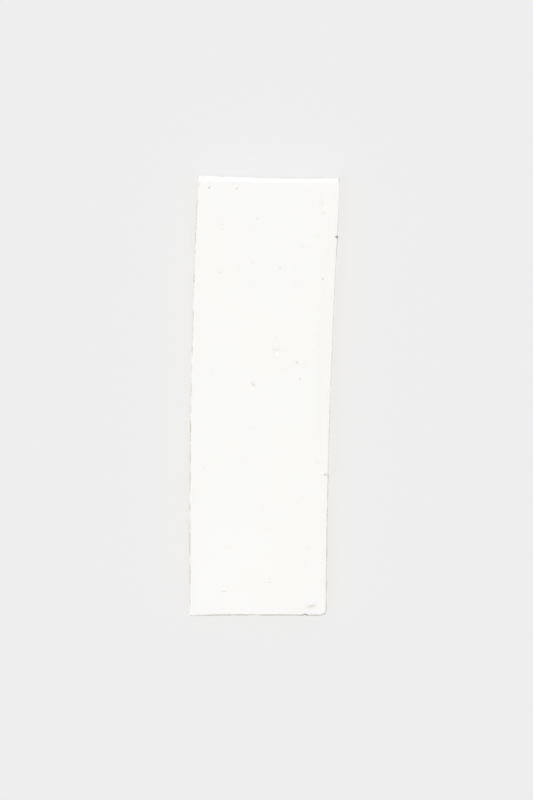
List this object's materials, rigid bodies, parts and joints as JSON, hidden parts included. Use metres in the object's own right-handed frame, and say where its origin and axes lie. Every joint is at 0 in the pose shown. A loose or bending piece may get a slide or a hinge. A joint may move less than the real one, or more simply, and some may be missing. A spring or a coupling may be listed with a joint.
{
  "type": "thin brick tile",
  "caption": "Thin rectangular fired-clay brick tile with a pitted white glazed face, softened arrises and a grooved back that keys into the bedding.",
  "frame": {"origin": "middle of the bounding box, on the bedding plane of the back", "axes": "+Z out of the glazed face, +Y along the length, +X across the width"},
  "size_m": [0.0684, 0.2032, 0.0127],
  "materials": {
    "glazed_brick": "white satin glaze on the face and sides, thin and tan along the arrises, bare buff clay on the back"
  },
  "bodies": {
    "root": {"brick_tile": "glazed_brick"}
  },
  "joints": []
}
